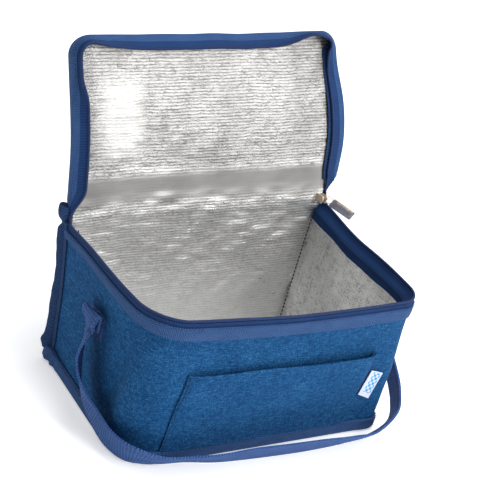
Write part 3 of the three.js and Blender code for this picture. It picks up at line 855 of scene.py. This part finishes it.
def add_back_binding(name, node, side):
    """Tape folded over an upright back seam: a flange, lumpy at both ends, with
    one edge lapped on the side wall."""
    z = np.linspace(BINDING_BOTTOM, BINDING_TOP, 86)
    knob = hump(z, 132, 6.5) if side < 0 else 0.15 * hump(z, 134, 5.5)
    foot = hump(z, 14, 9)
    neck = hump(z, 122, 4)
    lumps = 0.3 * np.sin(z / 7.0) + 0.15 * np.sin(z / 2.3)
    reach = 7.2 + lumps + 2.6 * knob + 2.0 * foot * (1 + 0.4 * np.sin(z / 1.9)) - 1.2 * neck
    thick = 1.7 + 4.2 * knob + 1.2 * foot - 0.2 * neck
    inset = 1.0 + 2.6 * np.maximum(knob, neck)
    x = side * HALF_X + 0 * z
    y = HALF_Y + 0.6 * np.sin(z / 17.0)
    corner = taper(x, y, np.minimum(z, HINGE_Z))
    corner[:, 2] = corner[:, 2] + np.maximum(z - HINGE_Z, 0) * MM
    out = np.tile(unit(np.array([side * 1.0, 1.0, 0.0])), (len(z), 1))
    along = unit(np.gradient(corner, axis=0))
    flat = np.cross(along, out)
    half = [(-0.10, 0.7), (0.3, 1.0), (0.85, 0.9), (1.0, 0.3)]
    shares = np.array([(reach_share, -thick_share) for reach_share, thick_share in half] + half[::-1])
    rings = corner[:, None, :] + MM * (
        out[:, None, :] * (shares[None, :, 0:1] * reach[:, None, None] - inset[:, None, None])
        + flat[:, None, :] * shares[None, :, 1:2] * thick[:, None, None]
    )
    flange = tube(f"{name}_flange", rings, BINDING, "bag", sharp=75)
    modifier = flange.modifiers.new("round", "SUBSURF")
    modifier.levels = 1
    modifier.render_levels = 1
    skin(flange, "webbing", node)

    zs, shares = grid(np.linspace(9, 121, 70), np.linspace(0, 1, 5))
    depth = 1.2 + 4.4 * shares
    t = depth if side < 0 else WRAP - depth
    lap = wall(t, zs, 1.2 + 0.35 * np.sin(math.pi * shares))
    lap = lap if side > 0 else lap[::-1]
    skin(slab(f"{name}_lap", lap, 0.9, BINDING, "bag"), "webbing")


# --- lid rim

SIDE_RUN = LID_LENGTH - LID_RADIUS
LID_ARC = LID_RADIUS * math.pi / 2
TOP_RUN = 2 * (LID_HALF_X - LID_RADIUS)
LID_WRAP = 2 * SIDE_RUN + 2 * LID_ARC + TOP_RUN
LID_TOP = SIDE_RUN + LID_ARC
LID_RIGHT = LID_TOP + TOP_RUN + LID_ARC
LID_TAPE_WIDTH = 5.0
TAPE_AND_COIL = 6.4
SKIRT_LAP = 5.0  # on the lid's outer face
SKIRT_RISE = 6.2  # from the lid's outer face to clear of its lining


def lid_outline(t):
    """The lid's edge from the left end of the hinge round to the right end:
    x, distance from the hinge, and the direction in from the edge."""
    t = np.asarray(t, float)
    first = np.clip((t - SIDE_RUN) / LID_ARC, 0, 1)
    second = np.clip((t - LID_TOP - TOP_RUN) / LID_ARC, 0, 1)
    angle = (first + second) * math.pi / 2
    ix = np.cos(angle)
    inward_d = -np.sin(angle)
    top = np.clip(t - LID_TOP, 0, TOP_RUN)
    x = -LID_HALF_X + LID_RADIUS + top - LID_RADIUS * ix
    down = np.clip(t - LID_RIGHT, 0, None)
    d = np.minimum(t, SIDE_RUN) + LID_RADIUS * np.sin(angle) - down
    return x, d, ix, inward_d


def fold(t):
    """How far the skirt is folded in from upright, in radians."""
    left = 1 - smooth(SIDE_RUN - 42, SIDE_RUN - 14, t)
    top = smooth(LID_TOP - 30, LID_TOP + 45, t) * (1 - smooth(LID_RIGHT - 85, LID_RIGHT - 35, t))
    right = smooth(LID_RIGHT - 44, LID_RIGHT + 22, t)
    return np.radians(4 + 46 * left + 58 * top + 80 * right)


def skirt(t, w, stand=0.0):
    """A point of the lid's skirt: along the edge, w millimetres in from it."""
    x, d, ix, inward_d = lid_outline(t)
    over = np.clip(-w, 0, None)
    straight = np.clip(w, 0, SKIRT_RISE)
    bent = np.clip(w - SKIRT_RISE, 0, None)
    angle = fold(t) * smooth(0.0, 2.5, bent)
    h = 2.6 - straight - bent * np.cos(angle) + stand * np.sin(angle) + 0.6 * (over > 0)
    q = bent * np.sin(angle) - stand * np.cos(angle) + over
    ripple = 0.3 * waves(41, 5, 26, 60, t, w)
    swell = 1.2 + 1.6 * smooth(LID_RIGHT, LID_RIGHT + 60, t) * (1 - smooth(LID_WRAP - 40, LID_WRAP - 5, t))
    q = q + ripple * smooth(0, 4, w) - swell * np.sin(math.pi * np.clip(w / 13, 0, 1))
    return lid_point(x + ix * q, d + inward_d * q, h)


def depth_at(t):
    """The skirt's length from the lid's edge to the far side of its coil."""
    _, d, _, _ = lid_outline(t)
    full = 17.0 + 1.6 * np.clip(d / LID_LENGTH, 0, 1)
    return 7.0 + (full - 7.0) * smooth(-6, 20, d)


def add_lid_rim():
    t0 = -5.0
    t1 = LID_WRAP + 3.0
    rows = int((t1 - t0) / 2)
    t = np.linspace(t0, t1, rows)[:, None]
    total = depth_at(t)
    w = -SKIRT_LAP + (total - TAPE_AND_COIL + SKIRT_LAP) * np.linspace(0, 1, 12)[None, :]
    outer = slab("lid_webbing", skirt(t + 0 * w, w)[:, ::-1], 1.0, WEBBING, "lid")
    skin(outer, "webbing", "lid_binding")
    w = total - TAPE_AND_COIL - 0.8 + LID_TAPE_WIDTH * np.linspace(0, 1, 5)[None, :]
    tape = slab("lid_zip_tape", skirt(t + 0 * w, w, -0.5)[:, ::-1], 0.6, ZIP_TAPE, "lid")
    skin(tape, "zip_tape", "zipper_tape_lid")

    t = np.linspace(t0, t1, rows * 2)
    total = depth_at(t)
    middle = skirt(t, total - COIL_RADIUS, -0.4)
    outward = unit(skirt(t, total - COIL_RADIUS + 1.0, -0.4) - middle)
    skin(coil("lid_coil", middle, outward, COIL, "lid"), "zip_coil", "zipper_coil_lid")
    sew("lid_stitches", lambda stand: skirt(t, total - TAPE_AND_COIL - 1.2, stand), 0.15, "lid", "webbing")


def add_lid_inner_tape():
    """The tape that covers the edge of the lining along the lid's right side."""
    x, d, ix, inward_d = lid_outline(np.linspace(LID_RIGHT - 10, LID_WRAP - 12, 90)[:, None])
    q = (3 + 10.5 * smooth(-6, 20, d)) * np.linspace(0.05, 1, 8)[None, :]
    cover = lid_point(x + ix * q, d + inward_d * q, -3.9 + 0 * q)
    skin(slab("lid_inner_tape", cover[:, ::-1], 0.4, BINDING, "lid"), "webbing")


# --- pocket, label

POCKET_BOTTOM_Z = 9.5
POCKET_TOP_Z = 77.5
POCKET_LEFT = (-87.5, -80.0)  # at the bottom and at the top
POCKET_RIGHT = (78.0, 86.2)
HEM_START = 0.965  # share of the pocket's height
HEM_WIDTH = 0.039


def pocket_point(u, v, out):
    """A point of the pocket by its shares across and up."""
    z = POCKET_BOTTOM_Z + (POCKET_TOP_Z - POCKET_BOTTOM_Z) * v
    left = POCKET_LEFT[0] + (POCKET_LEFT[1] - POCKET_LEFT[0]) * v
    right = POCKET_RIGHT[0] + (POCKET_RIGHT[1] - POCKET_RIGHT[0]) * v
    return front(left + (right - left) * u, z, out)


def pocket_lift(u, v):
    """How far the pocket stands off the wall: sewn at its edges, gaping at its top."""
    seam = 1 - np.abs(2 * u - 1) ** 22
    gape = (0.5 + 2.6 * smooth(0.05, 0.9, v)) + 2.2 * smooth(0.3, 0.85, u) * smooth(0.4, 1.0, v)
    return 1.25 + seam * gape + 0.25 * seam * waves(51, 6, 0.3, 0.8, u, v)


def add_pocket():
    us, vs = grid(np.linspace(0, 1, 90), np.linspace(0, 1, 36))
    pocket = slab("pocket_fabric", pocket_point(us, vs, pocket_lift(us, vs)), 1.0, HEATHER, "bag")
    skin(pocket, "outer_fabric", "pocket_panel")
    us, vs = grid(np.linspace(0.006, 0.994, 90), HEM_START + HEM_WIDTH * np.linspace(0, 1, 4))
    bulge = 0.35 * np.sin(math.pi * (vs - HEM_START) / HEM_WIDTH)
    hem = pocket_point(us, vs, pocket_lift(us, vs) + 0.15 + bulge)
    skin(slab("pocket_hem", hem, 0.7, HEATHER, "bag"), "outer_fabric")
    v = np.linspace(0.02, 0.98, 80)
    for name, u in (("pocket_left_stitches", 0.012), ("pocket_right_stitches", 0.988)):
        sew(name, lambda lift: pocket_point(u, v, pocket_lift(u, v) + lift), 0.1, "bag", "outer_fabric")


RIBBON_PALE = (0.58, 0.62, 0.83, 1)
RIBBON_BLUE = (0.02, 0.32, 0.62, 1)
CHECKS_PER_MM = 0.42
LABEL_AT = (83.2, 37.6)  # its lower left corner: across the front, and up
LABEL_WIDTH = 11.0
LABEL_HEIGHT = 22.5


def label_look():
    """Pale ribbon with a plain woven check, no lettering."""
    look = Look("label_ribbon")
    u, v = look.cloth()
    place = look.vector(look.times(u, CHECKS_PER_MM), look.times(v, CHECKS_PER_MM), 0.2)
    inputs = {"Vector": place, "Scale": 1.0, "Color1": RIBBON_PALE, "Color2": RIBBON_BLUE}
    checks = look.add("TexChecker", inputs)
    inside_u = look.math("LESS_THAN", look.away(u, 7.0), 3.6)
    inside_v = look.math("LESS_THAN", look.away(v, 13.5), 9.5)
    inside = look.times(inside_u, inside_v)
    color = look.mix(inside, RIBBON_PALE, checks.outputs[0])
    look.bump(look.wave(v, 0.7), 0.3, 0.15)
    return look.finish(Base_Color=color, Roughness=0.6)


def add_label():
    """A ribbon sewn in along its left edge, slanted like the pocket's seam."""
    us, vs = grid(np.linspace(0, 1, 14), np.linspace(0, 1, 24))
    x = LABEL_AT[0] + 4.4 * vs + (LABEL_WIDTH - 0.6 * vs) * us
    z = LABEL_AT[1] + LABEL_HEIGHT * vs - (4.6 - 2.0 * vs) * us
    label = slab("side_ribbon_label", front(x, z, 1.5 + 1.2 * us**1.5), 0.5, label_look(), "bag")
    skin(label, "label", "side_label")


# --- strap

# The handle's centre line and the direction of its width, from under the left
# anchor over the floor in front of the bag to the right anchor.
STRAP_STATIONS = [
    ((-127, 8, 72), (-0.38, -0.85, 0.36)),
    ((-130.5, 4, 50), (-0.58, -0.62, 0.53)),
    ((-129.5, -9, 29), (-0.4, -0.45, 0.8)),
    ((-124.5, -30, 16), (-0.2, -0.25, 0.95)),
    ((-120.5, -50, 11.8), (-0.2, -0.28, 0.94)),
    ((-111, -67, 11.4), (-0.22, -0.35, 0.91)),
    ((-91.4, -76.2, 9.6), (-0.3, -0.56, 0.77)),
    ((-70.1, -79.5, 9.3), (-0.25, -0.62, 0.74)),
    ((-45.9, -84, 9.9), (-0.15, -0.56, 0.81)),
    ((-19.3, -85.6, 10.4), (-0.12, -0.48, 0.87)),
    ((10.6, -87.3, 10.4), (-0.12, -0.48, 0.87)),
    ((40, -88.2, 10.2), (-0.12, -0.5, 0.86)),
    ((70.7, -88.2, 9.6), (-0.2, -0.58, 0.79)),
    ((97.7, -85, 8.8), (-0.33, -0.63, 0.7)),
    ((127, -73, 12.5), (-0.25, -0.5, 0.83)),
    ((140, -56, 20), (-0.2, -0.4, 0.89)),
    ((144, -36, 33), (-0.25, -0.5, 0.83)),
    ((140.5, -18, 51), (-0.3, -0.65, 0.7)),
    ((131.5, -2, 68), (-0.2, -0.9, 0.4)),
    ((121.5, 10.5, 81), (0, -1, 0.1)),
    ((119.5, 12.5, 88), (0, -1, 0)),
]
# Up over the top of the left anchor, before the first station.
LEFT_TURN = [
    ((-121.2, 7.0, 76.0), (0, -1, 0)),
    ((-121.5, 7.0, 84.0), (0, -1, 0)),
    ((-122.9, 7.0, 88.0), (0.08, -1, 0.08)),
    ((-125.6, 7.0, 89.2), (0.15, -0.97, 0.15)),
    ((-128.0, 7.2, 86.8), (0.12, -0.97, 0.2)),
    ((-128.6, 7.6, 80.5), (-0.1, -0.95, 0.28)),
]


def spline(values, count):
    """A smooth curve through the rows of values."""
    knots = np.arange(len(values), dtype=float)
    slopes = np.gradient(values, axis=0)
    at = np.linspace(0, len(values) - 1, count)
    k = np.minimum(at.astype(int), len(values) - 2)
    s = (at - knots[k])[:, None]
    a = values[k]
    b = values[k + 1]
    ma = slopes[k]
    mb = slopes[k + 1]
    return (
        (2 * s**3 - 3 * s**2 + 1) * a + (s**3 - 2 * s**2 + s) * ma
        + (-2 * s**3 + 3 * s**2) * b + (s**3 - s**2) * mb
    )


def add_handle():
    stations = np.array(LEFT_TURN + STRAP_STATIONS, float)
    at = spline(stations[:, 0], 340) * MM
    width = spline(stations[:, 1], 340)
    tangent = unit(np.gradient(at, axis=0))
    width = unit(width - tangent * (width * tangent).sum(-1, keepdims=True))
    face = np.cross(width, tangent)
    half = STRAP_WIDTH / 2
    us = np.linspace(-half, half, 13)
    curl = 0.4 * (us / half) ** 2
    points = at[:, None, :] + MM * width[:, None, :] * us[None, :, None]
    points = points + MM * face[:, None, :] * curl[None, :, None]
    points = points + face[:, None, :] * STRAP_THICKNESS / 2 * MM
    strap = slab("handle_webbing", points, STRAP_THICKNESS, STRAP, "handle")
    skin(strap, "webbing", "carry_strap")
    for name, offset in (("handle_stitches_near", -half + 1.5), ("handle_stitches_far", half - 1.5)):
        line = at + MM * (width * offset + face * (STRAP_THICKNESS / 2 + 0.3))
        skin(stitches(name, line, face, PALE_THREAD, "handle", 2.4, 1.2, 0.05), "webbing")


STRAP_END_BOTTOM = 62.0
STRAP_END_TOP = 84.5


def add_strap_end(name, node, side):
    """The sewn end of the handle: a doubled patch with a stitched box."""
    t_centre = HALF_Y - 5 if side < 0 else WRAP - HALF_Y + 5
    half = STRAP_WIDTH / 2

    def swell(t):
        return 0.6 * np.sin(math.pi * np.clip((t - t_centre + half) / (2 * half), 0, 1)) ** 0.5

    us, vs = grid(np.linspace(-half, half, 16), np.linspace(0, 1, 18))
    ts = t_centre + us
    bottom = STRAP_END_BOTTOM - 3.5 * side * us / half
    top = STRAP_END_TOP - 2.0 * (us / half) ** 4
    zs = bottom + (top - bottom) * vs
    patch = slab(name, wall(ts, zs, 1.0 + swell(ts)), STRAP_THICKNESS, STRAP, "bag")
    skin(patch, "webbing", node)
    near = -half + 2
    far = half - 2
    box = [(near, 67), (far, 69), (far, 81), (near, 81), (near, 67), (far, 81), (far, 69), (near, 81)]
    share = np.linspace(0, 1, 20)
    rows = []
    for index, (a, b) in enumerate(zip(box, box[1:])):
        t = t_centre + a[0] + (b[0] - a[0]) * share
        z = a[1] + (b[1] - a[1]) * share
        line, outward = line_and_outward(lambda out: wall(t, z, out + swell(t)), 1.1)
        rows.append(stitches(f"{name}_stitches_{index}", line, outward, PALE_THREAD, "bag", 2.0, 0.9))
    skin(join(f"{name}_stitches", rows), "webbing")


# --- zip slider

SLIDER_AT = (108.0, 73.6, 130.6)
SLIDER_TURN = 0.06
SLIDER_WIDTH = 7.6
SLIDER_LENGTH = 9.6
PULL_THICKNESS = 1.6
PULL_YAW = math.radians(-38)
PULL_DROOP = math.radians(21)


def plate(name, outline, low, high, place, bevel):
    """An extruded outline with rounded edges, put in its place."""
    outline = np.asarray(outline, float)
    rings = [np.concatenate([outline, np.full((len(outline), 1), h)], 1) for h in (low, high)]
    count = len(outline)
    faces = [tuple(range(count))[::-1], tuple(range(count, 2 * count))]
    for j in range(count):
        k = (j + 1) % count
        faces.append((j, k, k + count, j + count))
    points = np.concatenate(rings)
    uv = points[:, :2]
    moved = np.array([place @ Vector(p) for p in points]) * MM
    piece = make_object(name, moved, faces, uv, NICKEL, 30)
    modifier = piece.modifiers.new("edges", "BEVEL")
    modifier.width = bevel * MM
    modifier.segments = 3
    return piece


def apply_modifiers(piece):
    """Bakes the modifiers into the mesh, so that pieces can be joined."""
    evaluated = piece.evaluated_get(bpy.context.evaluated_depsgraph_get())
    mesh = bpy.data.meshes.new_from_object(evaluated)
    piece.modifiers.clear()
    piece.data = mesh
    return piece


def rounded(width, height, radius, cx=0.0, cy=0.0, steps=5):
    """The outline of a rectangle with rounded corners."""
    points = []
    for quarter, (sx, sy) in enumerate([(1, 1), (-1, 1), (-1, -1), (1, -1)]):
        for step in range(steps + 1):
            angle = (quarter + step / steps) * math.pi / 2
            points.append((
                cx + sx * (width / 2 - radius) + radius * math.cos(angle),
                cy + sy * (height / 2 - radius) + radius * math.sin(angle),
            ))
    return points


def wire_ring(name, outline, radius, place):
    """A wire bent round a closed outline."""
    flat = np.array([(x, y, 0.0) for x, y in outline])
    tangent = unit(np.roll(flat, -1, 0) - np.roll(flat, 1, 0))
    up = np.tile([0.0, 0.0, 1.0], (len(flat), 1))
    side = np.cross(tangent, up)
    rings = sweep(flat * MM, side, up, circle(radius, 10)) / MM
    moved = np.array([[place @ Vector(p) for p in one] for one in rings]) * MM
    return tube(name, moved, NICKEL, closed=True, sharp=80)


def add_slider():
    """Two shield-shaped plates joined by a post, with a bail on the outer one."""
    base = Matrix.Translation(Vector(SLIDER_AT)) @ Matrix.Rotation(SLIDER_TURN, 4, "Z")
    upright = base @ Matrix.Rotation(math.pi / 2, 4, "Y")
    square = rounded(SLIDER_WIDTH, SLIDER_LENGTH, 2.2)
    shield = [(x * (1.0 - 0.03 * (y + SLIDER_LENGTH / 2)), y) for x, y in square]
    # Outline, low face, high face and bevel of each part.
    parts = [
        ("slider_outer", shield, 1.6, 2.7, 0.4),
        ("slider_inner", shield, -2.7, -1.6, 0.4),
        ("slider_post", rounded(1.6, 3.0, 0.6), -1.8, 1.8, 0.1),
        ("bail_bar", rounded(1.5, 7.4, 0.6), 4.3, 5.3, 0.3),
        ("bail_foot_top", rounded(1.5, 1.3, 0.4, 0, 3.0), 2.5, 4.6, 0.2),
        ("bail_foot_low", rounded(1.5, 1.3, 0.4, 0, -3.0), 2.5, 4.6, 0.2),
    ]
    plates = [plate(name, outline, low, high, upright, bevel) for name, outline, low, high, bevel in parts]
    slider = join("slider_body", [apply_modifiers(one) for one in plates])
    skin(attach(slider, "zip_slider"), "zip_metal", "zip_slider")

    turn = Matrix.Rotation(PULL_YAW, 4, "Z") @ Matrix.Rotation(PULL_DROOP, 4, "Y")
    pull = base @ Matrix.Translation(Vector((4.0, 0, 0))) @ turn @ Matrix.Rotation(math.pi / 2, 4, "X")
    loop = wire_ring("pull_loop", rounded(8.0, 5.6, 2.1, 3.4, 0.0), 0.65, pull)
    half = PULL_THICKNESS / 2
    tab = plate("pull_tab", rounded(22.0, 8.6, 1.2, 18.0, 0.0), -half, half, pull, 0.45)
    panel = plate("pull_tab_face", rounded(17.4, 5.8, 0.8, 18.6, 0.0), 0.75, 1.05, pull, 0.12)
    tab = join("pull_tab_and_loop", [apply_modifiers(part) for part in (tab, panel, loop)])
    skin(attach(tab, "zip_pull"), "zip_metal", "zip_pull")


# --- camera and studio

CAMERA_DISTANCE = 1000.0
CAMERA_AZIMUTH = math.radians(-39.51)
CAMERA_ELEVATION = math.radians(28.77)
CAMERA_ROLL = math.radians(17.6)
CAMERA_TARGET = (-13.98, 0.0, 139.6)
CAMERA_LENS = 99.4


def add_camera():
    a = CAMERA_AZIMUTH
    e = CAMERA_ELEVATION
    back = Vector((math.sin(a) * math.cos(e), -math.cos(a) * math.cos(e), math.sin(e)))
    right = Vector((math.cos(a), math.sin(a), 0))
    up = back.cross(right)
    turned_right = right * math.cos(CAMERA_ROLL) + up * math.sin(CAMERA_ROLL)
    turned_up = -right * math.sin(CAMERA_ROLL) + up * math.cos(CAMERA_ROLL)
    data = bpy.data.cameras.new("photo_view")
    data.lens = CAMERA_LENS
    data.sensor_width = 36
    camera = put_in_scene("photo_view", data)
    place = (Vector(CAMERA_TARGET) + back * CAMERA_DISTANCE) * MM
    turn = Matrix((turned_right, turned_up, back)).transposed().to_4x4()
    camera.matrix_world = Matrix.Translation(place) @ turn
    bpy.context.scene.camera = camera


def add_light(name, place, target, size, power):
    data = bpy.data.lights.new(name, "AREA")
    data.shape = "DISK"
    data.size = size
    data.energy = power
    light = put_in_scene(name, data)
    light.location = place
    light.rotation_euler = (Vector(target) - Vector(place)).to_track_quat("-Z", "Y").to_euler()


# Name, place and target in metres, size and power.
LIGHTS = [
    ("key", (0.75, -1.25, 0.95), (0, 0, 0.12), 0.8, 15),
    ("top", (0.25, 0.1, 1.8), (0, 0, 0.1), 0.9, 16),
]
BRIGHT_SIDE = (0.62, -0.42, 0.66)
DIM = 0.22
BRIGHT = 0.95
FLOOR_GLOW = 0.42


def add_world():
    """White surroundings, brighter to the right, the front and above."""
    world = bpy.data.worlds.new("studio")
    bpy.context.scene.world = world
    world.use_nodes = True
    nodes = world.node_tree.nodes
    links = world.node_tree.links
    place = nodes.new("ShaderNodeTexCoord")
    towards = nodes.new("ShaderNodeVectorMath")
    towards.operation = "DOT_PRODUCT"
    towards.inputs[1].default_value = BRIGHT_SIDE
    strength = nodes.new("ShaderNodeMapRange")
    strength.interpolation_type = "SMOOTHSTEP"
    for index, value in enumerate((-0.5, 0.9, DIM, BRIGHT), 1):
        strength.inputs[index].default_value = value
    links.new(place.outputs["Generated"], towards.inputs[0])
    links.new(towards.outputs["Value"], strength.inputs[0])
    links.new(strength.outputs[0], nodes["Background"].inputs[1])
    nodes["Background"].inputs[0].default_value = (1.0, 1.0, 1.0, 1)


def add_studio():
    bpy.ops.mesh.primitive_plane_add(size=8, location=(0, 0, -0.0005))
    floor = bpy.context.object
    floor.name = "studio_floor"
    look = Look("studio_floor")
    look.shader.inputs["Emission Color"].default_value = (1, 1, 1, 1)
    look.shader.inputs["Emission Strength"].default_value = FLOOR_GLOW
    floor.data.materials.append(look.finish(Base_Color=(0.90, 0.90, 0.90, 1), Roughness=0.9))
    add_world()
    for light in LIGHTS:
        add_light(*light)
    bpy.context.scene.view_settings.view_transform = "Standard"


add_camera()
add_studio()
add_walls()
add_floor_layers()
add_back_and_lid()
add_rim()
add_corner_seam()
add_base_binding()
for side_name, direction in (("left", -1), ("right", 1)):
    add_back_binding(f"back_{side_name}_webbing", f"back_{side_name}_binding", direction)
add_lid_rim()
add_lid_inner_tape()
add_pocket()
add_label()
add_handle()
for side_name, direction in (("left", -1), ("right", 1)):
    add_strap_end(f"handle_end_{side_name}", f"strap_end_{side_name}", direction)
add_slider()
